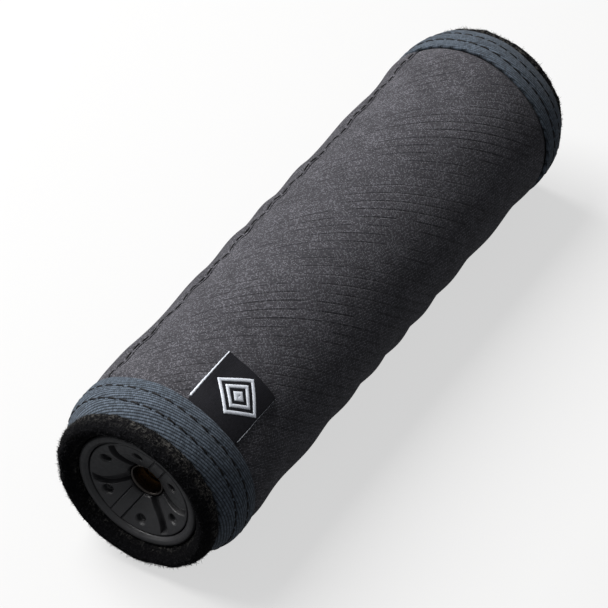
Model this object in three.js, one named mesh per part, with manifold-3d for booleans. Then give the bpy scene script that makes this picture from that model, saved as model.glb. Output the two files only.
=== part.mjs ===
// A padded tube sleeve lying on its side, with the solid round core that fills it.
// Millimetres, +Z up. The sleeve's axis runs along +Y, from the near end (the core's
// face and the label) to the far end. The origin is on the floor under the middle.
import * as THREE from "three";
import { mergeVertices } from "three/addons/utils/BufferGeometryUtils.js";
import Module from "manifold-3d";

const wasm = await Module();
wasm.setup();

// ---- driving dimensions ----
const sleeveLength = 203.2; // 8 inches
const shellRadius = 28.0;
const bandRadius = 28.6;
const coreRadius = 19.05;
const gap = 0.3; // between neighbouring pieces
const floorFlat = 0.3; // how far the soft bands flatten where they rest

// ---- sizes that follow from them ----
const axisHeight = bandRadius - floorFlat;
const halfLength = sleeveLength / 2;
const boreRadius = coreRadius + gap;
const feltRadius = 26.2;
const feltNeck = 24.7; // where the bands' drawn-in edges hold it
const feltLipPeak = 23.4; // radius of the felt's foremost ring
const bandWidth = 12.4;
const bandThickness = 0.75;
const bandTaper = 2.4; // the band's outer edge is drawn in by this much
const bandTaperLength = 8.5;
const nearBandInset = 6.6; // felt that stands out past the near band
const farBandInset = 4.3;
const stitchRows = [3.8, 8.2]; // measured from the band's inner edge
const threadSize = 0.45;
const threadFloorGap = 0.15;
const sides = 40; // facets round every turned piece

const shellEndStep = 1.0; // the shell is pressed down this much under a band
const shellThickness = 1.3;

const seamAngle = THREE.MathUtils.degToRad(-55); // from +Z towards +X
const seamWidth = 13.3;
const seamThreadInset = 1.0; // from the fold's upper edge to its topstitching
const seamThickness = 0.8;

const labelAngle = THREE.MathUtils.degToRad(34);
const labelWidth = 18.0;
const labelLength = 19.6;
const labelThickness = 0.6;
const labelHingeGap = 0.9; // from the band's edge to the flap
const labelTailLength = 2.8;
const labelTailThickness = 0.3;
const motifSize = 15.2;
const motifStroke = 1.0;
const motifPlace = 0.515; // along the flap, from its hinge line
const motifShift = 0.8; // to the right of the flap's middle

const overlapAngle = THREE.MathUtils.degToRad(-118);
const overlapWidth = 9.0;
const overlapLength = 7.5;
const overlapThickness = 0.6;

const nearFace = -halfLength + 3.4; // the core's rim, just inside the felt's lip
const farFace = halfLength - 3.4;
const rimWidth = 2.6;
const rimDepth = 7.0;
const faceRadius = coreRadius - rimWidth - gap;
const hubRadius = 5.6;
const hubCollarDepth = 5.1;
const hubWall = 0.8;
const hubPlugRadius = 1.9;
const pitCircle = 12.4;
const pitRadius = 1.45;
const pitDepth = 1.1;
const channelWidth = 2.1;
const channelDepth = 1.5;
const landWidth = 3.3;
const landHeight = 0.35;
const landTurn = THREE.MathUtils.degToRad(30); // the lands' angle from +Z towards +X
const rearCapDepth = 6.0;

// ---- materials ----
const cloth = (color) => new THREE.MeshStandardMaterial({ color, roughness: 0.95, metalness: 0 });
const metal = (color, roughness) => new THREE.MeshStandardMaterial({ color, roughness, metalness: 1 });
const shellCloth = cloth(0x3d3c41);
const feltWool = cloth(0x17171a);
const tapeWeave = cloth(0x37424d);
const blackThread = cloth(0x0b0b0d);
const labelCloth = cloth(0x15151b);
const whiteThread = cloth(0xe8ecf2);
const blackMetal = metal(0x232326, 0.55);
const brassMetal = metal(0xb08a4a, 0.3);
const steelMetal = metal(0x9a9896, 0.3);

// ---- helpers ----
// A closed geometry as a manifold solid.
function solid(geometry) {
  const plain = geometry.index ? geometry.toNonIndexed() : geometry.clone();
  plain.deleteAttribute("normal");
  plain.deleteAttribute("uv");
  const merged = mergeVertices(plain, 1e-4);
  return new wasm.Manifold(
    new wasm.Mesh({
      numProp: 3,
      vertProperties: merged.attributes.position.array,
      triVerts: new Uint32Array(merged.index.array),
    }),
  );
}

// A manifold solid as a geometry that three.js can draw.
function drawn(manifold) {
  const mesh = manifold.getMesh();
  const geometry = new THREE.BufferGeometry();
  geometry.setAttribute("position", new THREE.BufferAttribute(new Float32Array(mesh.vertProperties), 3));
  geometry.setIndex(new THREE.BufferAttribute(new Uint32Array(mesh.triVerts), 1));
  geometry.computeVertexNormals();
  return geometry;
}

function piece(name, geometry, material) {
  const mesh = new THREE.Mesh(geometry, material);
  mesh.name = name;
  return mesh;
}

// A turned ring or disc. The outline is a list of [radius, y], outer wall towards +Y.
function turned(outline, closed = true) {
  const points = outline.map(([r, y]) => new THREE.Vector2(r, y));
  if (closed) points.push(points[0].clone());
  return new THREE.LatheGeometry(points, sides);
}

// The same outline seen from the other end of the sleeve.
const mirrored = (outline) => outline.map(([r, y]) => [r, -y]).reverse();

// A quarter ellipse as [radius, y] points from angle 0 (along +radius) to 90 degrees (along -Y).
function quarter(centreR, centreY, sizeR, sizeY, steps) {
  const points = [];
  for (let i = 0; i <= steps; i++) {
    const a = (i / steps) * (Math.PI / 2);
    points.push([centreR + sizeR * Math.cos(a), centreY - sizeY * Math.sin(a)]);
  }
  return points;
}

// A strip bent round the sleeve's axis: its section lies in XZ and it runs along +Y from y0.
function bentStrip(innerRadius, thickness, angle, width, y0, length, notch = null) {
  const outerRadius = innerRadius + thickness;
  const half = width / 2 / innerRadius;
  const steps = Math.max(1, Math.round(width / 2));
  const section = new THREE.Shape();
  const at = (r, a) => [r * Math.sin(a), -r * Math.cos(a)];
  section.moveTo(...at(innerRadius, angle - half));
  for (let i = 1; i <= steps; i++) {
    section.lineTo(...at(innerRadius, angle - half + (2 * half * i) / steps));
  }
  section.lineTo(...at(outerRadius, angle + half));
  if (notch) {
    const side = notch.width / 2 / outerRadius;
    section.lineTo(...at(outerRadius, notch.angle + side));
    section.lineTo(...at(outerRadius - notch.depth, notch.angle + side));
    section.lineTo(...at(outerRadius - notch.depth, notch.angle - side));
    section.lineTo(...at(outerRadius, notch.angle - side));
  }
  for (let i = 1; i <= steps; i++) {
    const a = angle + half - (2 * half * i) / steps;
    if (notch && a > notch.angle - notch.width / outerRadius) continue;
    section.lineTo(...at(outerRadius, a));
  }
  const geometry = new THREE.ExtrudeGeometry(section, { depth: length, bevelEnabled: false });
  geometry.rotateX(-Math.PI / 2);
  geometry.translate(0, y0, 0);
  return geometry;
}

// ---- sleeve ----
// The felt's rounded lip at the near end, from its outer wall round to its bore.
function feltLip(inset) {
  const bulge = inset - 1.0;
  const outer = quarter(feltLipPeak, -halfLength + bulge, feltRadius - feltLipPeak, bulge, 4);
  const innerDepth = 2.6;
  const inner = quarter(feltLipPeak, -halfLength + innerDepth, boreRadius - feltLipPeak, innerDepth, 3);
  return [[feltNeck, -halfLength + inset], ...outer, ...inner.reverse().slice(1)];
}

function feltLining() {
  const shoulder = 12;
  const nearLip = feltLip(nearBandInset).reverse();
  const farLip = mirrored(feltLip(farBandInset)).reverse();
  const wall = [
    [feltRadius, -halfLength + nearBandInset + shoulder],
    [feltRadius, halfLength - farBandInset - shoulder],
  ];
  return turned([...nearLip, ...wall, ...farLip]);
}

// How far the band's outer face is drawn in at a distance from its inner edge.
function bandRadiusAt(fromInnerEdge) {
  const intoTaper = Math.max(0, fromInnerEdge - (bandWidth - bandTaperLength));
  return bandRadius - bandTaper * (intoTaper / bandTaperLength) ** 2;
}

// A band's outline at the near end, with a shallow groove for each row of stitches.
function bandOutline(inset) {
  const innerEdge = -halfLength + inset + bandWidth;
  const groove = threadSize / 2 + gap + 0.15;
  const depth = threadSize + gap - 0.1;
  const marks = [bandWidth, bandWidth - 2];
  stitchRows.slice().reverse().forEach((row) => marks.push(row + groove, row, row - groove));
  marks.push(0);
  const outer = marks.map((mark) => {
    const inGroove = stitchRows.includes(mark);
    return [bandRadiusAt(mark) - (inGroove ? depth : 0), innerEdge - mark];
  });
  const inner = [0, bandWidth - bandTaperLength, bandWidth].map((mark) => {
    return [bandRadiusAt(mark) - bandThickness - 0.25, innerEdge - mark];
  });
  return [...outer, ...inner];
}

// A soft band is pressed flat where it meets the floor, and its threads stay clear of it.
function flattened(geometry, clearance = 0) {
  const below = new THREE.BoxGeometry(80, sleeveLength + 20, 40);
  below.translate(0, 0, -axisHeight - 20 + clearance);
  return drawn(solid(geometry).subtract(solid(below)));
}

function stitchRing(row, inset) {
  const y = -halfLength + inset + bandWidth - row;
  const radius = bandRadiusAt(row) - 0.12;
  const half = threadSize / 2;
  return [
    [radius - threadSize, y],
    [radius - half, y - half],
    [radius, y],
    [radius - half, y + half],
  ];
}

function outerShell() {
  const nearEnd = -halfLength + nearBandInset + 5;
  const farEnd = halfLength - farBandInset - 5;
  const nearStep = -halfLength + nearBandInset + bandWidth - 0.6;
  const farStep = halfLength - farBandInset - bandWidth + 0.6;
  const pressed = shellRadius - shellEndStep;
  const hem = pressed - 0.65;
  const inside = shellRadius - shellThickness;
  const insideHem = feltRadius - 0.3;
  return turned([
    [insideHem, nearEnd],
    [hem, nearEnd],
    [pressed, nearEnd + 4],
    [pressed, nearStep],
    [shellRadius, nearStep + 1.2],
    [shellRadius, farStep - 1.2],
    [pressed, farStep],
    [pressed, farEnd - 4],
    [hem, farEnd],
    [insideHem, farEnd],
    [inside, farEnd - 8],
    [inside, nearEnd + 8],
  ]);
}

function sleeve() {
  const group = new THREE.Group();
  const add = (...args) => group.add(piece(...args));
  add("felt_lining", feltLining(), feltWool);
  add("outer_shell", outerShell(), shellCloth);
  const ends = [
    ["near", nearBandInset, (outline) => outline],
    ["far", farBandInset, mirrored],
  ];
  for (const [end, inset, placed] of ends) {
    add(`${end}_band`, flattened(turned(placed(bandOutline(inset)))), tapeWeave);
    stitchRows.forEach((row, i) => {
      const name = `${end}_band_thread_${i === 0 ? "inner" : "outer"}`;
      const ring = turned(placed(stitchRing(row, inset)));
      add(name, flattened(ring, threadFloorGap), blackThread);
    });
  }
  const overlapRadius = bandRadius + gap;
  const nearOverlap = -halfLength + nearBandInset + bandWidth - overlapLength;
  const farOverlap = halfLength - farBandInset - bandWidth;
  const overlap = (y0) => {
    return bentStrip(overlapRadius, overlapThickness, overlapAngle, overlapWidth, y0, overlapLength);
  };
  add("near_band_overlap", overlap(nearOverlap), tapeWeave);
  add("far_band_overlap", overlap(farOverlap), tapeWeave);

  const seamStart = -halfLength + nearBandInset + bandWidth + gap;
  const seamLength = sleeveLength - nearBandInset - farBandInset - 2 * (bandWidth + gap);
  const seamInner = shellRadius + gap;
  const threadAngle = seamAngle + (seamWidth / 2 - seamThreadInset) / seamInner;
  const notch = { angle: threadAngle, width: threadSize + 2 * gap, depth: threadSize };
  const seam = bentStrip(seamInner, seamThickness, seamAngle, seamWidth, seamStart, seamLength, notch);
  add("side_seam_fold", seam, shellCloth);
  const threadInner = seamInner + seamThickness - threadSize + gap;
  const thread = bentStrip(threadInner, threadSize, threadAngle, threadSize, seamStart + 1, seamLength - 2);
  add("side_seam_thread", thread, blackThread);

  const tailInner = shellRadius - shellEndStep + 0.15;
  const tailStart = -halfLength + nearBandInset + bandWidth - 1 - labelTailLength;
  const tail = bentStrip(tailInner, labelTailThickness, labelAngle, labelWidth, tailStart, labelTailLength);
  add("label_tail", tail, labelCloth);
  return group;
}

// ---- label ----
const labelStart = -halfLength + nearBandInset + bandWidth + labelHingeGap;

// A plain woven mark: a square frame standing on its corner.
function diamondRing(outerHalf, innerHalf, thickness) {
  const outline = (half) => [
    new THREE.Vector2(half, 0),
    new THREE.Vector2(0, half),
    new THREE.Vector2(-half, 0),
    new THREE.Vector2(0, -half),
  ];
  const shape = new THREE.Shape(outline(outerHalf));
  shape.holes.push(new THREE.Path(outline(innerHalf).reverse()));
  return new THREE.ExtrudeGeometry(shape, { depth: thickness, bevelEnabled: false });
}

function label() {
  const group = new THREE.Group();
  const inner = shellRadius + gap;
  const flap = bentStrip(inner, labelThickness, labelAngle, labelWidth, labelStart, labelLength);
  group.add(piece("label_flap", flap, labelCloth));

  const half = motifSize / 2;
  const motif = piece("label_motif", diamondRing(half, half - motifStroke * Math.SQRT2, 0.25), whiteThread);
  const mount = new THREE.Group();
  mount.rotation.y = labelAngle;
  motif.position.set(motifShift, labelStart + labelLength * motifPlace, inner + labelThickness + gap);
  mount.add(motif);
  group.add(mount);
  return group;
}

// ---- core: a solid blank, with no bore, no chambers and no threads ----
// Depth of the dished face behind the rim, from the outer edge in to the hub.
const dish = [
  [faceRadius, 1.0],
  [pitCircle, 1.7],
  [9.0, 2.8],
  [7.2, 3.7],
  [hubRadius, 4.8],
];
const faceBack = nearFace + 12.0;

function frontRim() {
  const inner = coreRadius - rimWidth;
  const back = nearFace + rimDepth;
  return turned([
    [inner, nearFace + 1.1],
    [inner + 0.9, nearFace + 0.2],
    [inner + 1.2, nearFace],
    [coreRadius - 0.5, nearFace],
    [coreRadius, nearFace + 0.5],
    [coreRadius, back],
    [inner, back],
  ]);
}

// Everything behind the dish, raised towards the front by lift.
function dishedDisc(lift) {
  const front = dish.map(([r, depth]) => [r, nearFace + depth - lift]).reverse();
  return turned([...front, [faceRadius, faceBack], [hubRadius, faceBack]]);
}

function faceDisc() {
  const landBar = new THREE.BoxGeometry(landWidth, 40, 2 * faceRadius + 2);
  landBar.translate(0, nearFace, 0).rotateY(landTurn);
  let disc = solid(dishedDisc(0)).add(solid(dishedDisc(landHeight)).intersect(solid(landBar)));
  for (let i = 0; i < 6; i++) {
    const turn = landTurn + (i * Math.PI) / 3;
    const isLand = i % 3 === 0;
    if (!isLand) disc = disc.subtract(solid(channelCutter(turn)));
    disc = disc.subtract(solid(pitCutter(turn + Math.PI / 6)));
  }
  return drawn(disc);
}

// A channel that follows the dish from the hub out to near its edge.
function channelCutter(turn) {
  const floor = dish.map(([r, depth]) => [Math.min(r, faceRadius - 1), nearFace + depth + channelDepth]);
  const outline = [[faceRadius - 0.6, nearFace - 1], ...floor, [hubRadius - 1, nearFace - 1]];
  const shape = new THREE.Shape(outline.map(([r, y]) => new THREE.Vector2(r, y)));
  const cutter = new THREE.ExtrudeGeometry(shape, { depth: channelWidth, bevelEnabled: false });
  cutter.translate(0, 0, -channelWidth / 2);
  return cutter.rotateY(turn - Math.PI / 2);
}

function pitCutter(turn) {
  const depthAtPits = dish[1][1];
  const pit = new THREE.CylinderGeometry(pitRadius, pitRadius, 6, 12);
  pit.translate(0, nearFace + depthAtPits + pitDepth - 3, pitCircle);
  return pit.rotateY(turn);
}

function core() {
  const group = new THREE.Group();
  const add = (...args) => group.add(piece(...args));
  const bodyFront = faceBack + gap;
  const neck = faceRadius - gap;
  const bodyBack = farFace - rearCapDepth;
  add("front_rim", frontRim(), blackMetal);
  add("face_disc", faceDisc(), blackMetal);
  const blank = [
    [0, bodyFront],
    [neck, bodyFront],
    [coreRadius, bodyFront],
    [coreRadius, bodyBack],
    [0, bodyBack],
  ];
  add("core_blank", turned(blank, false), blackMetal);

  // The hub is a blind recess: a collar, a washer behind it and a domed plug in the washer.
  const hubOuter = hubRadius - gap;
  const collarFront = nearFace + dish.at(-1)[1] + 0.5;
  const collarBack = collarFront + hubCollarDepth;
  const hubCollar = [
    [hubOuter - hubWall, collarFront + 0.4],
    [hubOuter - hubWall / 2, collarFront],
    [hubOuter, collarFront],
    [hubOuter, collarBack],
    [hubOuter - hubWall, collarBack],
  ];
  add("hub_collar", turned(hubCollar), steelMetal);
  const hubWasher = [
    [hubPlugRadius + gap, collarBack + gap],
    [hubOuter, collarBack + gap],
    [hubOuter, faceBack],
    [hubPlugRadius + gap, faceBack],
  ];
  add("hub_washer", turned(hubWasher), brassMetal);
  const dome = quarter(0, faceBack - 1.0, hubPlugRadius, 0.8, 4).reverse();
  dome[0][0] = 0;
  add("hub_plug", turned([...dome, [hubPlugRadius, faceBack], [0, faceBack]], false), blackMetal);

  const capFront = bodyBack + gap;
  const rearCap = [
    [0, capFront],
    [coreRadius, capFront],
    [coreRadius, farFace - 0.8],
    [coreRadius - 0.8, farFace],
    [12, farFace],
    [11, farFace - 1.2],
    [0, farFace - 1.2],
  ];
  add("rear_cap", turned(rearCap, false), blackMetal);
  return group;
}

const assembly = new THREE.Group();
assembly.position.z = axisHeight;
assembly.add(sleeve(), label(), core());
const root = new THREE.Group();
root.add(assembly);

export default root;
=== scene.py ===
"""Looks for a padded tube sleeve on a solid round core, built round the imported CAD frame.

Helpers work in millimetres. Angles run round the sleeve's axis, from +Z towards +X.
"""

import math

import bmesh
import bpy
import numpy as np
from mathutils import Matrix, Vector, noise


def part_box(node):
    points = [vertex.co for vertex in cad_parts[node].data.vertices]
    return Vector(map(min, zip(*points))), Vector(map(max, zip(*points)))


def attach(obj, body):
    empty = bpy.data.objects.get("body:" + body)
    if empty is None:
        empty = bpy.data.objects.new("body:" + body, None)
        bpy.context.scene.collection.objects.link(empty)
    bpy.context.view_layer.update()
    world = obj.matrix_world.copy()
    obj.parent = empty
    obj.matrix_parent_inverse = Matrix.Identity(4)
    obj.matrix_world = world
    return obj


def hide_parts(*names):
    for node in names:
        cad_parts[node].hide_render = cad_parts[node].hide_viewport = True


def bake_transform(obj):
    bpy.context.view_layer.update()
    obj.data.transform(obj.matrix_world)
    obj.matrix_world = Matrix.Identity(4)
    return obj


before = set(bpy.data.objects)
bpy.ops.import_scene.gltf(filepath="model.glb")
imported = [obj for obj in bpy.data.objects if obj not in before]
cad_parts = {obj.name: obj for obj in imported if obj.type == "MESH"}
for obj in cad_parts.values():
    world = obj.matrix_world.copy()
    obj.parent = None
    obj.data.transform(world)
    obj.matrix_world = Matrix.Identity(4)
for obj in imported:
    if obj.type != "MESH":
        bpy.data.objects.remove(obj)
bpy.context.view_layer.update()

MM = 0.001
TURN = 2 * math.pi


def box_mm(node):
    low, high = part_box(node)
    return np.array(low) / MM, np.array(high) / MM


def half_width(node):
    low, high = box_mm(node)
    return (high[0] - low[0]) / 2


# ---- places and sizes, from the frame ----
AXIS_Z = (box_mm("core_blank")[0][2] + box_mm("core_blank")[1][2]) / 2
NEAR_END, FAR_END = box_mm("felt_lining")[0][1], box_mm("felt_lining")[1][1]
NEAR_BAND, NEAR_EDGE = box_mm("near_band")[0][1], box_mm("near_band")[1][1]
FAR_EDGE, FAR_BAND = box_mm("far_band")[0][1], box_mm("far_band")[1][1]
BAND_WIDTH = NEAR_EDGE - NEAR_BAND
SHELL_R, BAND_R = half_width("outer_shell"), half_width("near_band")
CORE_R = half_width("core_blank")
GAP = 0.3  # between neighbouring pieces
BORE_R = CORE_R + GAP
CORE_FACE = box_mm("front_rim")[0][1]
FACE_R = half_width("face_disc")
HUB_R = half_width("hub_collar") + GAP
FACE_BACK = box_mm("face_disc")[1][1]
LABEL_START, LABEL_END = box_mm("label_flap")[0][1], box_mm("label_flap")[1][1]
LABEL_LENGTH = LABEL_END - LABEL_START

# ---- sizes that the cloth adds ----
FLOOR_LIFT = 0.02  # cloth that reaches the floor lies this far above it
BAND_TAPERS, BAND_TAPER_LENGTH = {"near": 3.6, "far": 2.3}, 9.0
BAND_THICKNESS = 1.0
STITCH_ROWS = (3.8, 8.2)  # from a band's inner edge
STITCH_LENGTH, STITCH_PITCH = 3.3, 4.05
THREAD_R = 0.28
PRESSED = 0.6  # the tape presses the shell down this much
SEAM_TOP, SEAM_FOOT = math.radians(-41.4), math.radians(-68.5)
SEAM_STITCH = SEAM_TOP - 0.45 / SHELL_R
SEAM_HEIGHT = 0.5
LABEL_ANGLE = math.radians(34)
LABEL_WIDTH = 18.0
LABEL_TAIL = 4.6  # sewn in under the near tape
LABEL_RISE = 0.42  # from the shell's face to the middle of the label's cloth
LIP_STEP = 0.42  # between points along the felt's rounded ends


# ---- mesh helpers ----
def place(radius, angle, y, floor=True):
    """Points in millimetres from cylinder coordinates. Cloth that would pass through the floor lies on it."""
    radius, angle, y = np.broadcast_arrays(radius, angle, y)
    z = AXIS_Z + radius * np.cos(angle)
    if floor:
        z = np.maximum(z, FLOOR_LIFT)
    return np.stack([radius * np.sin(angle), y, z], -1)


def outward_ray(angle):
    """The direction straight out from the axis at an angle."""
    return np.stack([np.sin(angle), 0 * angle, np.cos(angle)], -1)


def grid_faces(rows, columns, wrap_rows=False, start=0):
    """Faces over a grid of points whose columns close round into a tube."""
    r = np.arange(rows if wrap_rows else rows - 1)
    r, c = np.meshgrid(r, np.arange(columns), indexing="ij")
    up, on = (r + 1) % rows, (c + 1) % columns
    corners = [r * columns + c, up * columns + c, up * columns + on, r * columns + on]
    return start + np.stack(corners, -1).reshape(-1, 4)


def linked(name, points, faces, material):
    """A new object in the scene, from points in millimetres and lists of their numbers."""
    mesh = bpy.data.meshes.new(name)
    mesh.from_pydata((points.reshape(-1, 3) * MM).tolist(), [], [tuple(face) for face in faces])
    piece = bpy.data.objects.new(name, mesh)
    bpy.context.scene.collection.objects.link(piece)
    mesh.materials.append(material)
    return piece


def mesh_object(name, points, faces, material, weld=False):
    """A smooth mesh piece with its faces turned outwards."""
    piece = linked(name, points, faces, material)
    mesh = piece.data
    if weld:
        work = bmesh.new()
        work.from_mesh(mesh)
        bmesh.ops.remove_doubles(work, verts=work.verts, dist=1e-7)
        work.to_mesh(mesh)
        work.free()
    if signed_volume(mesh) < 0:
        mesh.flip_normals()
    mesh.polygons.foreach_set("use_smooth", [True] * len(mesh.polygons))
    mesh.update()
    return piece


def signed_volume(mesh):
    mesh.calc_loop_triangles()
    co = np.zeros(len(mesh.vertices) * 3)
    mesh.vertices.foreach_get("co", co)
    corners = np.zeros(len(mesh.loop_triangles) * 3, int)
    mesh.loop_triangles.foreach_get("vertices", corners)
    a, b, c = co.reshape(-1, 3)[corners.reshape(-1, 3)].transpose(1, 0, 2)
    return float((a * np.cross(b, c)).sum())


def rounded(outline, passes=2, closed=True):
    """The outline with its corners cut off, a few times over."""
    points = np.array(outline, float)
    for _ in range(passes):
        after = np.roll(points, -1, 0) if closed else points[1:]
        before = points if closed else points[:-1]
        cut = np.stack([before * 0.75 + after * 0.25, before * 0.25 + after * 0.75], 1)
        cut = cut.reshape(-1, 2)
        points = cut if closed else np.vstack([points[:1], cut, points[-1:]])
    return points


def resampled(outline, step, closed=True):
    """The outline as points about one step apart, its own corners kept."""
    points = np.array(outline, float)
    ends = np.roll(points, -1, 0) if closed else points[1:]
    result = []
    for start, end in zip(points, ends):
        count = max(1, round(float(np.hypot(*(end - start))) / step))
        result += [start + (end - start) * i / count for i in range(count)]
    return np.array(result if closed else result + [points[-1]])


def turned(name, outline, columns, material, shape=None, weld=False, floor=True):
    """An outline of [radius, y] turned round the axis. shape(radius, angle, y) bends each point."""
    outline = np.array(outline, float)
    angle = np.arange(columns) * TURN / columns
    radius, y = outline[:, :1], outline[:, 1:]
    radius, angle, y = np.broadcast_arrays(radius, angle[None, :], y)
    if shape:
        radius, y = shape(radius, angle, y)
    points = place(radius, angle, y, floor)
    faces = grid_faces(len(outline), columns, wrap_rows=True).tolist()
    return mesh_object(name, points, faces, material, weld)


def close_ends(piece, rows, columns):
    """Puts a face over each end of a tube made by grid_faces."""
    work = bmesh.new()
    work.from_mesh(piece.data)
    work.verts.ensure_lookup_table()
    for first in (0, (rows - 1) * columns):
        work.faces.new([work.verts[first + i] for i in range(columns)])
    bmesh.ops.recalc_face_normals(work, faces=work.faces)
    work.to_mesh(piece.data)
    work.free()


def smooth(x, low, high):
    t = np.clip((x - low) / (high - low), 0, 1)
    return t * t * (3 - 2 * t)


def hill(x, centre, width):
    return np.exp(-(((x - centre) / width) ** 2))


def apart(angle, centre):
    """The signed angle from centre, within half a turn."""
    return (angle - centre + math.pi) % TURN - math.pi


def ripples(angle, y, seed, waves, turns, lengths):
    """Slow irregular waves over the sleeve, about 1 high, that meet themselves round it."""
    rng = np.random.default_rng(seed)
    total = 0
    for _ in range(waves):
        round_it = int(rng.integers(turns[0], turns[1] + 1)) * rng.choice([-1, 1])
        total = total + np.sin(round_it * angle + TURN * y / rng.uniform(*lengths) + rng.uniform(0, TURN))
    return total / math.sqrt(waves)


def lumps(points, size, seed):
    """Fractal noise at each point in millimetres, about -1 to 1."""
    offset = Vector((seed * 17.3, seed * 5.1, seed * 9.7))
    flat = points.reshape(-1, 3) / size
    values = [noise.fractal(Vector(p) + offset, 1.0, 2.0, 3) for p in flat.tolist()]
    return np.array(values).reshape(points.shape[:-1])


# ---- the sleeve's surfaces ----
def band_radius(end, inward):
    """The tape's outer face, at a distance from its inner edge."""
    into_taper = np.clip(inward - (BAND_WIDTH - BAND_TAPER_LENGTH), 0, None)
    return BAND_R - BAND_TAPERS[end] * (into_taper / BAND_TAPER_LENGTH) ** 2


def shell_radius(angle, y):
    """The shell's outer face. It bulges between the bands and puckers along its seam."""
    near, far = y - NEAR_EDGE, FAR_EDGE - y
    inside = smooth(near, -0.6, 1.6) * smooth(far, -0.6, 1.6)
    bulge = 0.35 * (hill(near, 6, 5) + hill(far, 6, 5))
    slow = 0.16 * ripples(angle, y, seed=3, waves=9, turns=(1, 5), lengths=(45, 130))
    from_seam = apart(angle, SEAM_STITCH) * SHELL_R
    tuck = -0.28 * hill(from_seam, 0.4, 1.5)
    gather = np.sin(TURN * y / 11.5 + 1.7 * np.sin(y / 17.0)) * hill(from_seam, 2.5, 6.0)
    under = apart(angle, math.radians(117)) * SHELL_R
    pinch = np.sin(TURN * y / 19.0 + 2.6 * np.sin(y / 21.0) + 0.8) * hill(under, 0, 7.0)
    relief = bulge + slow + tuck + 0.3 * gather + 0.34 * pinch
    return SHELL_R - 0.25 - PRESSED * (1 - inside) + relief * inside


def seam_radius(angle, y):
    """The folded seam's outer face, which sinks into the shell at its foot."""
    across = apart(angle, SEAM_STITCH) * SHELL_R
    ridge = smooth(angle, SEAM_FOOT, SEAM_FOOT + 0.16)
    stitched = -0.3 * hill(across, 0, 0.55)
    wave = 0.42 * np.sin(TURN * y / 23 + 1.7 * np.sin(y / 17.0)) * hill(across, -5, 5)
    return shell_radius(angle, y) + SEAM_HEIGHT * ridge + stitched + wave * ridge


def felt_offset(points):
    """How far the needled felt stands proud of its plain shape: large lumps and small ones."""
    return 0.26 * lumps(points, size=4.2, seed=1) + 0.16 * lumps(points, size=1.3, seed=2)


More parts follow.
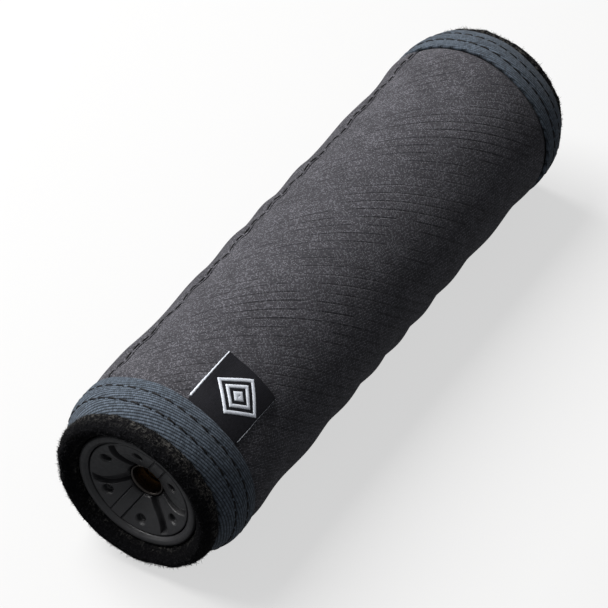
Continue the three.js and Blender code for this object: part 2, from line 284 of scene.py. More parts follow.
# ---- materials ----
class Shading:
    """A new material, with short calls for adding nodes to it."""

    def __init__(self, name, **settings):
        self.material = bpy.data.materials.new(name)
        self.material.use_nodes = True
        self.tree = self.material.node_tree
        self.shader = self.tree.nodes["Principled BSDF"]
        for key, value in settings.items():
            self.shader.inputs[key.replace("_", " ")].default_value = value

    def node(self, kind, inputs=None, **settings):
        made = self.tree.nodes.new(kind)
        for key, value in settings.items():
            setattr(made, key, value)
        for key, value in (inputs or {}).items():
            self.feed(made.inputs[key], value)
        return made

    def feed(self, socket, value):
        if isinstance(value, bpy.types.NodeSocket):
            self.tree.links.new(value, socket)
        else:
            socket.default_value = value

    def maths(self, operation, a, b=0.0, c=0.0):
        return self.node("ShaderNodeMath", {0: a, 1: b, 2: c}, operation=operation).outputs[0]

    def folded_wave(self, turns):
        """From 0 up to 1 and back for each whole number that turns passes."""
        return self.maths("ABSOLUTE", self.maths("SINE", self.maths("MULTIPLY", turns, math.pi)))

    def thread_tone(self, row, step):
        """A random number from 0 to 1 for each thread that shows."""
        cell = self.node("ShaderNodeCombineXYZ", {0: row, 1: step}).outputs[0]
        return self.node("ShaderNodeTexWhiteNoise", {"Vector": cell}, noise_dimensions="3D").outputs[0]

    def ranged(self, value, low, high, to_low=0.0, to_high=1.0):
        inputs = {0: value, 1: low, 2: high, 3: to_low, 4: to_high}
        return self.node("ShaderNodeMapRange", inputs, interpolation_type="SMOOTHSTEP").outputs[0]

    def mix(self, share, a, b, blend="MIX"):
        made = self.node("ShaderNodeMix", data_type="RGBA", blend_type=blend)
        colours = [c if isinstance(c, bpy.types.NodeSocket) else (*c, 1) for c in (a, b)]
        self.feed(made.inputs[0], share)
        self.feed(made.inputs[6], colours[0])
        self.feed(made.inputs[7], colours[1])
        return made.outputs[2]

    def shaded(self, colour, shade):
        """The colour times a number."""
        grey = self.node("ShaderNodeCombineColor", {0: shade, 1: shade, 2: shade}).outputs[0]
        return self.mix(1.0, colour, grey, "MULTIPLY")

    def place(self):
        return self.node("ShaderNodeTexCoord").outputs["Object"]

    def noise(self, size, detail=2.0, stretch=(1, 1, 1)):
        """Noise about 0.5 whose lumps are about size millimetres across."""
        scaled = self.node("ShaderNodeVectorMath", {0: self.place(), 1: stretch}, operation="MULTIPLY")
        inputs = {"Vector": scaled.outputs[0], "Scale": 1 / (size * MM), "Detail": detail}
        return self.node("ShaderNodeTexNoise", inputs).outputs[0]

    def cylinder(self, radius):
        """Millimetres round the sleeve at a radius, and along it."""
        x, y, z = self.node("ShaderNodeSeparateXYZ", {0: self.place()}).outputs
        angle = self.maths("ARCTAN2", x, self.maths("SUBTRACT", z, AXIS_Z * MM))
        return self.maths("MULTIPLY", angle, radius), self.maths("MULTIPLY", y, 1 / MM)

    def slanted(self, arc, along, degrees):
        """The same place measured across and along lines that climb from the arc's direction."""
        c, s = math.cos(math.radians(degrees)), math.sin(math.radians(degrees))
        across = self.maths("SUBTRACT", self.maths("MULTIPLY", along, c), self.maths("MULTIPLY", arc, s))
        forward = self.maths("ADD", self.maths("MULTIPLY", arc, c), self.maths("MULTIPLY", along, s))
        return across, forward

    def twill(self, across, forward, pitch, length):
        """A twill's ridges: their height from 0 to 1, and a random tone for each thread that shows."""
        row = self.maths("DIVIDE", across, pitch)
        number = self.maths("FLOOR", row)
        start = self.node("ShaderNodeTexWhiteNoise", {"W": number}, noise_dimensions="1D").outputs[0]
        step = self.maths("ADD", self.maths("DIVIDE", forward, length), start)
        crown = self.maths("MULTIPLY_ADD", self.folded_wave(step), 0.5, 0.5)
        height = self.maths("MULTIPLY", self.folded_wave(row), crown)
        return height, self.thread_tone(number, self.maths("FLOOR", step))

    def plain_weave(self, across, forward, pitch, length):
        """Threads both ways with a dark hole at each crossing, as a height and a tone."""
        row = self.maths("DIVIDE", across, pitch)
        number = self.maths("FLOOR", row)
        step = self.maths("MULTIPLY_ADD", number, 0.3, self.maths("DIVIDE", forward, length))
        ridge = self.folded_wave(row)
        either = self.maths("MAXIMUM", ridge, self.folded_wave(step))
        height = self.maths("MULTIPLY_ADD", either, 0.55, self.maths("MULTIPLY", ridge, 0.45))
        return self.ranged(height, 0.25, 0.95), self.thread_tone(number, self.maths("FLOOR", step))

    def bump(self, height, depth, over=None):
        """Relief from a height of 0 to 1, depth millimetres deep."""
        inputs = {"Height": height, "Distance": depth * MM, "Strength": 1.0}
        if over is not None:
            inputs["Normal"] = over
        return self.node("ShaderNodeBump", inputs).outputs[0]

    def finish(self, colour=None, normal=None, roughness=None):
        for key, value in (("Base Color", colour), ("Normal", normal), ("Roughness", roughness)):
            if value is not None:
                self.feed(self.shader.inputs[key], value)
        return self.material


MISSED_PICK_PITCH = 2.9


def shell_cloth():
    """Charcoal twill with pale flecks, and thin lines where a pick is missed: grooves in the bump, with
    painted shade darkening them in the colour.
    """
    m = Shading("shell_cloth", Roughness=0.9, Specular_IOR_Level=0.12, Sheen_Weight=0.04, Sheen_Roughness=0.4)
    across, forward = m.slanted(*m.cylinder(SHELL_R), 45)
    height, tone = m.twill(across, forward, 0.42, 0.34)
    fleck = m.maths("MULTIPLY", m.ranged(tone, 0.42, 1.0), m.maths("MULTIPLY", height, height))
    ground = m.mix(height, (0.010, 0.010, 0.012), (0.057, 0.056, 0.064))
    body = m.mix(m.maths("MULTIPLY", fleck, 0.8), ground, (0.225, 0.222, 0.248))
    worn = m.ranged(m.noise(7.0, 3.0), 0.3, 0.72, 0.84, 1.14)
    missed = m.folded_wave(m.maths("MULTIPLY", across, 1 / MISSED_PICK_PITCH))
    broken = m.ranged(m.noise(11.0, 2.0), 0.36, 0.52)
    line = m.maths("MULTIPLY", m.ranged(missed, 0.34, 0.12), broken)
    # painted shade: the missed-pick lines darken the colour by up to a quarter, besides sinking in the bump
    shade = m.maths("MULTIPLY", worn, m.maths("MULTIPLY_ADD", line, -0.26, 1.0))
    fine = m.bump(m.maths("SUBTRACT", height, m.maths("MULTIPLY", line, 1.4)), 0.13)
    return m.finish(m.shaded(body, shade), fine)


def tape_weave():
    """Slate-blue tape, ribbed along its length."""
    m = Shading("tape_weave", Roughness=0.86, Specular_IOR_Level=0.15, Sheen_Weight=0.04, Sheen_Roughness=0.4)
    across, forward = m.slanted(*m.cylinder(BAND_R), 9)
    height, tone = m.plain_weave(across, forward, 0.70, 0.60)
    ground = m.mix(height, (0.005, 0.007, 0.009), (0.056, 0.070, 0.089))
    return m.finish(m.shaded(ground, m.maths("MULTIPLY_ADD", tone, 0.7, 0.66)), m.bump(height, 0.16))


def near_tape(m):
    """From 0 to 1 over the last few millimetres of felt before the tape, where the felt is painted paler:
    partly a worn pale nap, partly painted highlight on its crest.
    """
    middle, half = (NEAR_BAND + FAR_BAND) / 2, (FAR_BAND - NEAR_BAND) / 2
    y = m.node("ShaderNodeSeparateXYZ", {0: m.place()}).outputs[1]
    out = m.maths("ABSOLUTE", m.maths("SUBTRACT", m.maths("MULTIPLY", y, 1 / MM), middle))
    return m.ranged(out, half + 5.2, half + 1.8)


def felt_wool():
    """Thick black needled felt."""
    m = Shading("felt_wool", Roughness=1.0, Specular_IOR_Level=0.03)
    long_way = m.noise(0.6, 3.0, stretch=(1, 0.35, 1))
    round_way = m.noise(0.55, 3.0, stretch=(0.4, 1, 0.4))
    hairs = m.ranged(m.maths("MAXIMUM", long_way, round_way), 0.5, 0.78)
    # painted highlight as well as wear: the crest by the tape is painted paler, in patches, all round
    worn = m.maths("MULTIPLY", near_tape(m), m.ranged(m.noise(4.0), 0.25, 0.52))
    pale = m.mix(worn, (0.009, 0.009, 0.010), (0.084, 0.081, 0.075))
    colour = m.mix(hairs, (0.003, 0.003, 0.0035), pale)
    return m.finish(colour, m.bump(hairs, 0.35, over=m.bump(m.noise(2.2), 0.5)))


def felt_fibre():
    """The loose hairs on the felt's ends."""
    m = Shading("felt_fibre", Roughness=0.8, Specular_IOR_Level=0.08)
    tone = m.ranged(m.noise(1.2, 3.0), 0.40, 0.72)
    # the hairs by the tape are painted paler too: partly worn nap, partly painted highlight on the crest
    pale = m.mix(near_tape(m), (0.020, 0.020, 0.021), (0.112, 0.107, 0.098))
    return m.finish(m.mix(tone, (0.005, 0.005, 0.006), pale))


def black_thread():
    """Twisted sewing thread."""
    m = Shading("black_thread", Roughness=0.6, Specular_IOR_Level=0.15)
    ply = m.noise(0.22, 2.0)
    return m.finish(m.mix(ply, (0.001, 0.001, 0.0015), (0.006, 0.006, 0.007)), m.bump(ply, 0.08))


def label_cloth():
    """Fine black damask, woven with its ribs across the label."""
    m = Shading("label_cloth", Roughness=0.75, Specular_IOR_Level=0.12)
    height, tone = m.twill(*m.slanted(*m.cylinder(SHELL_R), 90), 0.3, 0.55)
    shade = m.maths("MULTIPLY", height, m.maths("MULTIPLY_ADD", tone, 0.6, 0.5))
    return m.finish(m.mix(shade, (0.003, 0.003, 0.004), (0.014, 0.014, 0.019)), m.bump(height, 0.07))


def white_thread():
    """The label's mark and its pale cut edges."""
    m = Shading("white_thread", Roughness=0.7, Specular_IOR_Level=0.2)
    across, forward = m.slanted(*m.cylinder(SHELL_R), 0)
    height, tone = m.twill(across, forward, 0.26, 2.4)
    shade = m.maths("MULTIPLY", height, m.maths("MULTIPLY_ADD", tone, 0.3, 0.8))
    return m.finish(m.mix(shade, (0.36, 0.39, 0.45), (0.80, 0.83, 0.88)), m.bump(height, 0.10))


def turned_metal(name, base, metallic, roughness, marks=0.02):
    """Metal with faint turning marks and a mottled finish."""
    spots = 0.25
    m = Shading(name, Metallic=metallic, Specular_IOR_Level=0.5)
    x, y, z = m.node("ShaderNodeSeparateXYZ", {0: m.place()}).outputs
    up = m.maths("SUBTRACT", z, AXIS_Z * MM)
    radius = m.maths("SQRT", m.maths("ADD", m.maths("MULTIPLY", x, x), m.maths("MULTIPLY", up, up)))
    spiral = m.maths("ADD", radius, m.maths("MULTIPLY", y, 0.9))
    grooves = {"W": spiral, "Scale": 9000.0, "Detail": 2.0}
    ring = m.node("ShaderNodeTexNoise", grooves, noise_dimensions="1D").outputs[0]
    mottled = m.noise(1.1, 3.0)
    rough = m.ranged(mottled, 0.3, 0.7, roughness * (1 - spots), roughness * (1 + spots))
    tone = m.ranged(m.noise(3.5, 3.0), 0.3, 0.7)
    colour = m.mix(tone, tuple(0.8 * c for c in base), base)
    return m.finish(colour, m.bump(ring, marks, over=m.bump(mottled, 0.03)), rough)


SHELL, TAPE, FELT, FIBRE = shell_cloth(), tape_weave(), felt_wool(), felt_fibre()
THREAD, LABEL, WHITE = black_thread(), label_cloth(), white_thread()
BLACK_METAL = turned_metal("black_metal", (0.026, 0.026, 0.028), 0.1, 0.42)
BRASS = turned_metal("brass", (0.80, 0.46, 0.14), 1.0, 0.30, 0.04)
# the steel is painted dark and brownish: painted shade to keep the hub's recess dark, and a painted
# reflection of the brass in its tint
STEEL = turned_metal("steel", (0.085, 0.075, 0.068), 1.0, 0.32, 0.04)


# ---- sleeve ----
def added(piece, body, slot, *nodes):
    """The piece, made part of a body, with the CAD nodes it stands for hidden. slot is not used."""
    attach(piece, body)
    if nodes:
        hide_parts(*nodes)
    return piece


def make_shell():
    """The cloth tube. Its ends are tucked in under the two tapes."""
    tucked, wall = 6.0, 1.1
    start, end = NEAR_EDGE - tucked, FAR_EDGE + tucked
    outer = resampled([[0, start], [0, end]], 0.8, closed=False)
    inner = resampled([[-wall, end], [-wall, start]], 4.0, closed=False)

    def shape(sunk, angle, y):
        return shell_radius(angle, y) + sunk, y

    piece = turned("shell_cloth_tube", np.vstack([outer, inner]), 440, SHELL, shape)
    return added(piece, "sleeve", "shell_cloth", "outer_shell")


def make_seam():
    """The lapped seam: a fold of cloth that lies on the shell and is stitched along its upper edge."""
    rows, tucked = 300, 4
    y = np.linspace(NEAR_EDGE - tucked, FAR_EDGE + tucked, rows)[:, None]
    top = np.linspace(SEAM_FOOT, SEAM_TOP, 30)
    edge = SEAM_TOP + 0.012 * np.sin(np.linspace(0.3, math.pi - 0.2, 6))
    edge_depth = np.linspace(0.12, SEAM_HEIGHT + 0.1, 6)
    under = np.linspace(SEAM_TOP - 0.01, SEAM_FOOT, 10)
    angle = np.concatenate([top, edge, under])[None, :]
    sunk = np.concatenate([0 * top, edge_depth, 0 * under + SEAM_HEIGHT + 0.25])[None, :]
    wander = 0.006 * np.sin(y / 6.3) + 0.004 * np.sin(y / 2.9)
    near_top = smooth(angle, SEAM_TOP - 0.1, SEAM_TOP)
    radius = seam_radius(np.broadcast_to(angle, (rows, angle.size)), y) - sunk
    points = place(radius, angle + wander * near_top, y)
    piece = mesh_object("seam_fold_cloth", points, grid_faces(rows, angle.size).tolist(), SHELL)
    close_ends(piece, rows, angle.size)
    return added(piece, "sleeve", "shell_cloth", "side_seam_fold")


# Each end's inner tape edge, its way outwards along Y, and the angle of its first stitch.
ENDS = {"near": (NEAR_EDGE, -1, 0.3), "far": (FAR_EDGE, 1, 1.1)}
TILTS = {"near": 0.7, "far": -0.2}  # how far each band leans, in millimetres at its edge
STITCHES_ROUND = round(TURN * BAND_R / STITCH_PITCH)


def band_drift(end, angle, inward):
    """How far the sewn tape drifts from its plain shape: away from the axis, and along it."""
    way = ENDS[end][1]
    raised = 0.10 * ripples(angle, inward, seed=21 + way, waves=7, turns=(2, 9), lengths=(20, 60))
    wander = 0.14 * ripples(angle, 0 * inward, seed=31 + way, waves=6, turns=(2, 8), lengths=(20, 60))
    tilt = TILTS[end] * np.cos(angle + 0.5)
    return raised, wander + tilt


def tape_relief(angle, inward, phase):
    """The tape dips along its stitches, most of all where the needle went in."""
    needle = 0.72 + 0.28 * np.cos(STITCHES_ROUND * (angle - phase) + math.pi)
    dip = sum(hill(inward, row, 0.5) for row in STITCH_ROWS)
    puff = 0.12 * hill(inward, sum(STITCH_ROWS) / 2, 1.6) + 0.1 * hill(inward, 1.6, 1.3)
    return -0.34 * dip * needle + puff


def make_band(end):
    """The tape round one end. Its outline is [height, distance from its inner edge]."""
    edge, way, phase = ENDS[end]
    slant = 0.35
    face = resampled([[0, slant], [0, BAND_WIDTH - slant]], 0.28, closed=False)
    under = [[-BAND_THICKNESS, BAND_WIDTH - 0.1], [-BAND_THICKNESS, 0.4]]
    section = np.vstack([[[-BAND_THICKNESS, 0.05], [-0.75, 0], [-0.3, 0], [-0.08, 0.12]], face,
                         [[-0.08, BAND_WIDTH - 0.12], [-0.3, BAND_WIDTH], [-0.75, BAND_WIDTH]],
                         resampled(under, 1.5, closed=False)])

    def shape(sunk, angle, inward):
        on_face = smooth(sunk, -0.7, -0.1)
        raised, drift = band_drift(end, angle, inward)
        radius = band_radius(end, inward) + sunk + raised + on_face * tape_relief(angle, inward, phase)
        return radius, edge + way * (inward + drift)

    piece = turned(f"{end}_band_tape", section, 900, TAPE, shape)
    return added(piece, "sleeve", "tape", f"{end}_band")


def make_overlap(end):
    """The tape's end, lapped over its start and tucked under at its cut edge."""
    edge, way, phase = ENDS[end]
    node = f"{end}_band_overlap"
    low, high = box_mm(node)
    centre = math.atan2((low[0] + high[0]) / 2, (low[2] + high[2]) / 2 - AXIS_Z)
    half, rows = 4.5 / BAND_R, 44
    top = np.linspace(-1.0, 1.0, 28)
    across = np.concatenate([[-1.0], top, [1.0], np.linspace(1.0, -1.0, 6)])
    raised = np.concatenate([[-0.6], 0.55 - 0.3 * np.abs(top) ** 8, [-0.6], [-0.7] * 6])
    inward = np.linspace(0.25, BAND_WIDTH - 0.25, rows)[:, None]
    angle = centre + half * across[None, :]
    on_face = (raised > -0.5)[None, :]
    relief = on_face * tape_relief(angle, inward, phase)
    drift_out, drift_along = band_drift(end, angle, inward)
    radius = band_radius(end, inward) + raised[None, :] + relief + drift_out
    points = place(radius, angle, edge + way * (inward + drift_along))
    piece = mesh_object(f"{end}_band_lap", points, grid_faces(rows, angle.size).tolist(), TAPE)
    close_ends(piece, rows, angle.size)
    return added(piece, "sleeve", "tape", node)


def thread_row(name, spine, count):
    """A row of stitches. spine(number, s) gives points along each one and its way out, s from -1 to 1."""
    steps, sides = 13, 8
    s = np.linspace(-1, 1, steps)[None, :]
    number = np.arange(count)[:, None]
    line, out = spine(number, s)
    along = np.gradient(line, axis=1)
    along /= np.linalg.norm(along, axis=-1, keepdims=True)
    side = np.cross(along, out)
    side /= np.linalg.norm(side, axis=-1, keepdims=True)
    up = np.cross(side, along)
    turn = (np.arange(sides) * TURN / sides)[None, None, :, None]
    thick = (THREAD_R * np.sqrt(np.clip(1.02 - s ** 8, 0.05, 1)))[..., None, None]
    ring = side[:, :, None] * np.cos(turn) + 0.85 * up[:, :, None] * np.sin(turn)
    points = line[:, :, None] + thick * ring
    faces, caps = [], []
    for i in range(count):
        start = i * steps * sides
        faces.append(grid_faces(steps, sides, start=start))
        caps.append([start + k for k in range(sides)][::-1])
        caps.append([start + (steps - 1) * sides + k for k in range(sides)])
    points[..., 2] = np.maximum(points[..., 2], FLOOR_LIFT)
    return mesh_object(name, points, np.vstack(faces).tolist() + caps, THREAD)


def stitch_height(s):
    """How far a stitch stands above the cloth: its ends go down through it."""
    return 0.15 - 0.8 * np.abs(s) ** 7


def make_band_threads(end):
    edge, way, phase = ENDS[end]
    for row, which in zip(STITCH_ROWS, ("inner", "outer")):

        def spine(number, s):
            angle = phase + TURN * number / STITCHES_ROUND + s * STITCH_LENGTH / 2 / BAND_R
            inward = row + 0.09 * s + 0 * angle
            raised, drift = band_drift(end, angle, inward)
            radius = band_radius(end, inward) - 0.24 + raised + stitch_height(s)
            return place(radius, angle, edge + way * (inward + drift)), outward_ray(angle)

        piece = thread_row(f"{end}_band_stitches_{which}", spine, STITCHES_ROUND)
        added(piece, "sleeve", "black_thread", f"{end}_band_thread_{which}")


def make_seam_thread():
    count = int((FAR_EDGE - NEAR_EDGE - 1) / STITCH_PITCH)

    def spine(number, s):
        y = NEAR_EDGE + 2.2 + number * STITCH_PITCH + s * STITCH_LENGTH / 2
        angle = SEAM_STITCH + 0.09 * s / SHELL_R + 0 * y + 0.004 * np.sin(y / 6.3)
        radius = seam_radius(angle, y) + 0.06 + stitch_height(s)
        return place(radius, angle, y), outward_ray(angle)

    piece = thread_row("seam_stitches", spine, count)
    return added(piece, "sleeve", "black_thread", "side_seam_thread")


# The felt's ends, as [radius, distance in from the tip], from under the tape round to the bore.
LIPS = {
    "near": [[23.8, 12.0], [23.9, 8.4], [24.4, 6.9], [25.3, 5.7], [25.7, 4.2], [25.3, 2.3], [24.4, 0.9],
             [23.2, 0.2], [22.1, 0.6], [21.0, 1.7], [20.0, 2.9], [BORE_R, 4.4], [BORE_R, 7.0]],
    "far": [[23.8, 10.0], [23.9, 6.4], [24.3, 4.8], [25.1, 3.9], [25.5, 2.9], [25.2, 1.6], [24.5, 0.6],
            [23.4, 0.2], [22.1, 0.7], [20.9, 1.9], [20.0, 3.1], [BORE_R, 4.6], [BORE_R, 8.0]],
}


def lip_path(end):
    """One end's lip, rounded off, as points of [radius, y]."""
    points = resampled(rounded(LIPS[end], 2, closed=False), LIP_STEP, closed=False)
    y = NEAR_END + points[:, 1] if end == "near" else FAR_END - points[:, 1]
    return np.stack([points[:, 0], y], 1)


def make_felt():
    """The felt tube: rough on its lips, and never proud of its bore."""
    near, far = lip_path("near"), lip_path("far")[::-1]
    bore = resampled([near[-1], far[0]], 3.5, closed=False)[1:-1]
    wall = resampled([far[-1], near[0]], 3.5, closed=False)[1:-1]

    def shape(radius, angle, y):
        points = place(radius, angle, y, floor=False)
        rough = felt_offset(points)
        in_bore = smooth(radius, BORE_R + 1.2, BORE_R + 0.2)
        outward = np.abs(rough) * 0.5
        radius = radius + rough * (1 - in_bore) + outward * in_bore
        tip = np.minimum(y - NEAR_END, FAR_END - y)
        waves = ripples(angle, 0 * y, seed=41, waves=7, turns=(2, 9), lengths=(30, 60))
        lean = 0.35 * waves * smooth(tip, 7, 1) * (1 - in_bore)
        return radius, y + np.where(y < 0, 1, -1) * np.abs(lean)

    piece = turned("felt_tube", np.vstack([near, bore, far, wall]), 460, FELT, shape)
    return added(piece, "sleeve", "felt", "felt_lining")


def make_fuzz(end, count, seed):
    """Loose fibres that stand out of the felt's lip, each a thin curved spike with three sides."""
    path = lip_path(end)
    shown = path[: int(len(path) * 0.78)]
    shown = shown[int(len(shown) * 0.2):]
    rng = np.random.default_rng(seed)
    legs = np.diff(shown, axis=0)
    weight = np.hypot(*legs.T) * shown[:-1, 0]
    pick = rng.choice(len(legs), count, p=weight / weight.sum())
    share = rng.random(count)[:, None]
    root = shown[pick] + legs[pick] * share
    slope = legs[pick] / np.hypot(*legs[pick].T)[:, None]
    angle = rng.uniform(0, TURN, count)
    ray = outward_ray(angle)
    round_it = np.stack([np.cos(angle), 0 * angle, -np.sin(angle)], -1)
    y_way = np.array([0.0, 1.0, 0.0])
    down = slope[:, :1] * ray + slope[:, 1:] * y_way
    sign = 1 if end == "near" else -1
    normal = sign * (-slope[:, 1:] * ray + slope[:, :1] * y_way)
    normal *= -1 if (normal * ray).sum(-1).mean() < 0 else 1
    heading, lean = rng.uniform(0, TURN, (count, 1)), rng.uniform(0.5, 1.45, (count, 1))
    flat = np.cos(heading) * down + np.sin(heading) * round_it
    start = np.cos(lean) * normal + np.sin(lean) * flat
    curl = rng.normal(0, 0.55, (count, 3))
    reach = smooth(root[:, :1], 20.5, 24.5) * 0.65 + 0.35
    length = (rng.gamma(3.0, 0.15, (count, 1)) + 0.25) * reach
    spot = place(root[:, 0], angle, root[:, 1], floor=False)
    spot = spot + normal * (felt_offset(spot)[:, None] - 0.12)
    nodes, heading_now = [spot], start
    for _ in range(4):
        heading_now = heading_now + 0.45 * curl
        heading_now /= np.linalg.norm(heading_now, axis=-1, keepdims=True)
        nodes.append(nodes[-1] + heading_now * length / 4)
    line = np.stack(nodes, 1)
    side = np.cross(start, ray + 0.3 * y_way)
    side /= np.linalg.norm(side, axis=-1, keepdims=True)
    up = np.cross(side, start)
    turn = np.arange(3) * TURN / 3
    ring = side[:, None] * np.cos(turn)[None, :, None] + up[:, None] * np.sin(turn)[None, :, None]
    thick = np.array([0.05, 0.048, 0.04, 0.028])[None, :, None, None]
    body = line[:, :4, None] + thick * ring[:, None]
    points = np.concatenate([body.reshape(count, 12, 3), line[:, 4:]], 1)
    points[..., 2] = np.maximum(points[..., 2], FLOOR_LIFT)
    tip_and_root = [[9, 10, 12], [10, 11, 12], [11, 9, 12], [0, 2, 1]]
    one = grid_faces(4, 3).tolist() + tip_and_root
    faces = [[i * 13 + k for k in face] for i in range(count) for face in one]
    return added(linked(f"{end}_felt_fuzz", points, faces, FIBRE), "sleeve", "felt")


make_shell()
make_seam()
make_seam_thread()
for end_name in ENDS:
    make_band(end_name)
    make_overlap(end_name)
    make_band_threads(end_name)
make_felt()
make_fuzz("near", 9000, 5)
make_fuzz("far", 4500, 6)


# ---- label ----
def label_points(u, v, raised=0.0):
    """Points on the label: u round the sleeve from its middle line, v along it from its hinge line."""
    u, v, raised = np.broadcast_arrays(u, v, raised)
    angle, y = LABEL_ANGLE + u / SHELL_R, LABEL_START + v
    edge_lift = 0.55 * smooth(-u, 5.0, 9.5) * smooth(v, 1.5, 12.0)
    end_lift = 0.3 * smooth(v, 9.0, 16.0) * (1 + 0.3 * np.sin(u / 4.0))
    return place(shell_radius(angle, y) + LABEL_RISE + edge_lift + end_lift + raised, angle, y)


def bent_with_label(piece, slot, *nodes):
    """Cloth that is sewn to the sleeve at one end: its placement is baked into its mesh and the CAD nodes it
    stands for are hidden. slot is not used.
    """
    middle = label_points(0.0, np.array([-0.4, 2.6])) * MM
    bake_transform(piece)
    if nodes:
        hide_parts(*nodes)


def make_label():
    """The woven label, with round edges and a rounded fold at its free end."""
    half, thick, fold = LABEL_WIDTH / 2, 0.22, 0.3
    top = np.linspace(-1, 1, 60)
    round_edge = np.linspace(0, math.pi, 7)[1:-1]
    section_u = np.concatenate([top * (half - thick), half - thick + thick * np.sin(round_edge),
                                top[::-1] * (half - thick), -half + thick - thick * np.sin(round_edge)])
    section_h = np.concatenate([0 * top + thick, thick * np.cos(round_edge),
                                0 * top - thick, -thick * np.cos(round_edge)])
    v = np.concatenate([np.linspace(-LABEL_TAIL, LABEL_LENGTH - fold, 66),
                        LABEL_LENGTH - fold + fold * np.sin(np.linspace(0.2, math.pi / 2 - 0.1, 7))])[:, None]
    past = np.clip((v - LABEL_LENGTH + fold) / fold, 0, 0.995)
    thin = np.sqrt(1 - past ** 2)
    narrow = 1 - 0.02 * past ** 2
    points = label_points(section_u[None, :] * narrow, v, section_h[None, :] * thin)
    piece = mesh_object("label_cloth_flap", points, grid_faces(len(v), section_u.size).tolist(), LABEL)
    close_ends(piece, len(v), section_u.size)
    bent_with_label(piece, "label_cloth", "label_flap", "label_tail")
    return piece


def make_label_edge(name, side, width, height):
    """The pale cut edge that shows down one side of the label."""
    rows, sides = 60, 10
    turn = np.arange(sides) * TURN / sides
    v = np.linspace(0.2, LABEL_LENGTH - 0.15, rows)[:, None]
    fray = 0.05 * np.sin(v * 9.0) + 0.04 * np.sin(v * 23.0)
    slim = 1 - 0.45 * v / LABEL_LENGTH
    middle = side * (LABEL_WIDTH / 2 - 0.05)
    u = middle + width * slim * np.cos(turn)[None, :]
    points = label_points(u + side * fray, v, height * slim * np.sin(turn)[None, :])
    piece = mesh_object(name, points, grid_faces(rows, sides).tolist(), WHITE)
    close_ends(piece, rows, sides)
    bent_with_label(piece, "white_thread")
    return piece


def make_motif():
    """The woven mark: squares standing on their corners, one inside another, in raised white thread."""
    centre_u, centre_v = 0.8, LABEL_LENGTH * 0.515
    rings = [(7.6, 6.15), (4.8, 3.35), (2.0, 0.02)]
    side = np.linspace(0, 1, 26)[:-1]
    corners = np.array([[1, 0], [0, 1], [-1, 0], [0, -1]], float)
    loop = np.vstack([a + (b - a) * side[:, None] for a, b in zip(corners, np.roll(corners, -1, 0))])
    satin = 0.035 * np.sin(np.arange(len(loop)) * 2.1)
    rows, all_points, all_faces = 11, [], []
    for outer, inner in rings:
        reach = np.concatenate([np.linspace(outer, inner, 9), [inner, outer]])[:, None]
        dome = np.sin(np.linspace(0.0, math.pi, 9))
        height = np.concatenate([0.16 + 0.2 * np.sqrt(dome), [-0.1, -0.1]])[:, None]
        edge = np.concatenate([[1], np.zeros(7), [1], [1], [1]])[:, None]
        wavy = reach + satin[None, :] * edge * (reach > 0.1)
        u, v = wavy * loop[:, 0], wavy * loop[:, 1]
        rise = height + 0.02 * np.sin(np.arange(len(loop)) * 2.1)[None, :]
        all_points.append(label_points(centre_u + u, centre_v + v, rise + 0.06).reshape(-1, 3))
        start = len(all_faces) * rows * len(loop)
        all_faces.append(grid_faces(rows, len(loop), wrap_rows=True, start=start))
    piece = mesh_object("label_mark", np.vstack(all_points), np.vstack(all_faces).tolist(), WHITE)
    return added(piece, "label", "white_thread", "label_motif")


label_piece = make_label()
left_edge = make_label_edge("label_left_edge", side=-1, width=0.40, height=0.42)
right_edge = make_label_edge("label_right_edge", side=1, width=0.13, height=0.24)
label_trim = [left_edge, right_edge, make_motif()]


# ---- core: an inert solid blank ----
LANDS = [math.radians(30 + 180 * i) for i in range(2)]
CHANNELS = [math.radians(a) for a in (90, 150, 262, 330)]
PITS = [math.radians(60 * i) for i in range(6)]
PIT_CIRCLE = 12.4
FACE_WALL, HUB_WALL = 1.5, 5.4  # where the face's walls begin, behind the rim


def dish_depth(radius):
    """How far the face lies behind the rim, from its outer edge in to the hub."""
    inward = np.clip((FACE_R - radius) / (FACE_R - HUB_R), 0, 1)
    return 1.0 + 3.8 * inward ** 1.7


def face_relief(radius, angle):
    """Extra depth for the pits, channels and lines. Lands stand up, so theirs is negative."""
    outward = (radius - HUB_R) / (FACE_R - HUB_R)
    depth = 0.35 * smooth(radius, FACE_R - 0.45, FACE_R) ** 2
    depth = depth + 0.4 * smooth(radius, HUB_R + 0.5, HUB_R) ** 2
    for centre in CHANNELS:
        bow = 0.13 * np.sin(math.pi * outward) * (1 if round(math.degrees(centre)) % 180 == 90 else -1)
        across = np.abs(radius * apart(angle, centre + bow))
        half = 1.6 - 0.2 * outward
        depth = depth + 1.9 * smooth(across, half, half - 0.55) * smooth(radius, FACE_R - 0.6, FACE_R - 1.4)
    for centre in LANDS:
        forward = np.cos(apart(angle, centre)) > 0
        across = np.abs(radius * np.sin(apart(angle, centre)))
        bar = forward * smooth(across, 1.85, 1.6)
        line = forward * hill(across, 1.95, 0.14)
        depth = depth - 0.28 * bar * smooth(radius, FACE_R - 0.2, FACE_R - 0.6) + 0.4 * line
    for centre in PITS:
        chord = radius ** 2 + PIT_CIRCLE ** 2 - 2 * radius * PIT_CIRCLE * np.cos(apart(angle, centre))
        out = np.sqrt(np.clip(chord, 0, None))
        depth = depth + 0.3 * smooth(out, 1.85, 1.5) + 1.5 * smooth(out, 1.5, 1.2)
        depth = depth - 0.5 * hill(out, 0, 0.45)
    return depth


def core_piece(name, outline, material, slot, node, columns=200, shape=None):
    """A turned piece of the core."""
    piece = turned(name, outline, columns, material, shape, weld=True, floor=False)
    return added(piece, "core", slot, node)


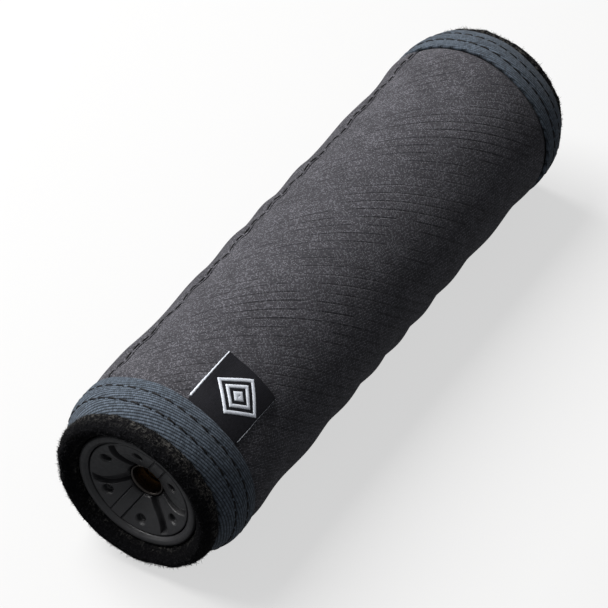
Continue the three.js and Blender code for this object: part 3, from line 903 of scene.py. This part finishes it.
def make_face():
    """The dished face, with its cosmetic relief on the front only."""
    across = np.arange(HUB_R, FACE_R + 0.05, 0.1)
    front = np.stack([across, CORE_FACE + dish_depth(across)], 1)
    outer = resampled([[FACE_R, CORE_FACE + FACE_WALL], [FACE_R, FACE_BACK]], 1.5, closed=False)
    inner = resampled([[HUB_R, FACE_BACK], [HUB_R, CORE_FACE + HUB_WALL]], 1.0, closed=False)
    on_front = np.concatenate([np.ones(len(front)), np.zeros(len(outer) + len(inner))])[:, None]

    def shape(radius, angle, y):
        return radius, y + on_front * face_relief(radius, angle)

    section = np.vstack([front, outer, inner])
    core_piece("face_disc_detailed", section, BLACK_METAL, "black_metal", "face_disc",
               columns=900, shape=shape)


def make_rim():
    inner = FACE_R + GAP
    back = box_mm("front_rim")[1][1]
    front = rounded([[inner, CORE_FACE + 0.95], [inner + 0.35, CORE_FACE + 0.6], [inner + 1.0, CORE_FACE],
                     [CORE_R - 0.45, CORE_FACE], [CORE_R, CORE_FACE + 0.5]], 3, closed=False)
    outline = np.vstack([front, [[CORE_R, back], [inner, back]]])
    core_piece("front_rim_turned", outline, BLACK_METAL, "black_metal", "front_rim")


def make_blank():
    """The solid length of the core, with a small bevel at each end."""
    bevel = 0.25
    (_, start, _), (_, end, _) = box_mm("core_blank")
    outline = [[0, start], [CORE_R - bevel, start], [CORE_R, start + bevel], [CORE_R, end - bevel],
               [CORE_R - bevel, end], [0, end]]
    core_piece("core_blank_turned", resampled(outline, 4.0), BLACK_METAL, "black_metal", "core_blank")


def make_rear_cap():
    """A plain closed cap with a shallow step in its face."""
    bevel, edge, step = 0.25, 0.8, 1.2
    (_, start, _), (_, end, _) = box_mm("rear_cap")
    outline = [[0, start], [CORE_R - bevel, start], [CORE_R, start + bevel], [CORE_R, end - edge],
               [CORE_R - edge, end], [12.3, end], [11.4, end - step], [0, end - step]]
    curve = resampled(rounded(outline, 1)[1:-1], 1.5)
    first = np.argmin(curve[:, 1] + 0.001 * curve[:, 0])
    outline = np.vstack([[[0, start]], curve[first:], curve[:first], [[0, end - step]]])
    core_piece("rear_cap_turned", outline, BLACK_METAL, "black_metal", "rear_cap")


def make_hub():
    """The closed recess in the face's middle: a collar, with a washer and a solid plug at its bottom."""
    out, wall = half_width("hub_collar"), 0.8
    (_, front, _), (_, back, _) = box_mm("hub_collar")
    collar = rounded([[out - wall, back], [out - wall, front + 0.4], [out - 0.4, front], [out, front],
                      [out, back]], 2)
    core_piece("hub_collar_turned", resampled(collar, 0.6), STEEL, "steel", "hub_collar")
    plug = half_width("hub_plug")
    hole = plug + 0.1
    (_, front, _), (_, back, _) = box_mm("hub_washer")
    washer = rounded([[hole, front], [out, front], [out, back], [hole, back]], 1)
    core_piece("hub_washer_turned", resampled(washer, 0.5), BRASS, "brass", "hub_washer")
    back = box_mm("hub_plug")[1][1]
    quarter = np.linspace(0, math.pi / 2, 10)
    crown = [[plug * math.sin(a), back - 1.0 - 0.8 * math.cos(a)] for a in quarter]
    core_piece("hub_plug_domed", crown + [[plug, back], [0, back]], BLACK_METAL, "black_metal", "hub_plug")


make_rim()
make_face()
make_blank()
make_rear_cap()
make_hub()


# ---- stage, lights and camera ----
def make_floor():
    """A wide sheet of white paper, glowing enough to stay white in the picture."""
    reach = 6.0 / MM
    corners = np.array([(-reach, -reach, 0), (reach, -reach, 0), (reach, reach, 0), (-reach, reach, 0)])
    paper = Shading("floor_paper", Roughness=0.9, Base_Color=(0.15, 0.15, 0.15, 1), Specular_IOR_Level=0.0,
                    Emission_Color=(1, 1, 1, 1), Emission_Strength=0.62)
    floor = linked("floor", corners, [[0, 1, 2, 3]], paper.material)
    floor.visible_diffuse = floor.visible_glossy = False


def area_light(name, place_m, target_m, size, watts, colour=(1, 1, 1)):
    light = bpy.data.lights.new(name, "AREA")
    light.shape, light.size, light.size_y = "RECTANGLE", *size
    light.energy, light.color = watts, colour
    lamp = bpy.data.objects.new(name, light)
    bpy.context.scene.collection.objects.link(lamp)
    lamp.location = place_m
    lamp.rotation_euler = (Vector(target_m) - Vector(place_m)).to_track_quat("-Z", "Y").to_euler()


def make_camera(azimuth, elevation, distance, aim, lens):
    a, e = math.radians(azimuth), math.radians(elevation)
    back = Vector((math.sin(a) * math.cos(e), -math.cos(a) * math.cos(e), math.sin(e)))
    camera = bpy.data.objects.new("camera", bpy.data.cameras.new("camera"))
    bpy.context.scene.collection.objects.link(camera)
    camera.location = Vector(aim) + back * distance
    camera.rotation_euler = (-back).to_track_quat("-Z", "Y").to_euler()
    camera.data.lens, camera.data.sensor_width = lens, 36
    camera.data.clip_start, camera.data.clip_end = 0.05, 20
    bpy.context.scene.camera = camera


world = bpy.data.worlds.new("studio")
bpy.context.scene.world = world
world.use_nodes = True
world.node_tree.nodes["Background"].inputs[0].default_value = (0.95, 0.97, 1.0, 1)
world.node_tree.nodes["Background"].inputs[1].default_value = 0.25
bpy.context.scene.view_settings.view_transform = "Standard"

make_floor()
centre = (0, 0, AXIS_Z * MM)
area_light("key", (-0.70, -0.05, 0.98), centre, size=(0.85, 0.9), watts=41, colour=(1.0, 0.99, 0.98))
area_light("front", (-1.0, -0.6, 0.35), centre, size=(0.3, 0.4), watts=1.3)
make_camera(azimuth=31.73, elevation=43.57, distance=0.8728, aim=(0.0004, -0.0117, 0.0294), lens=178.4)
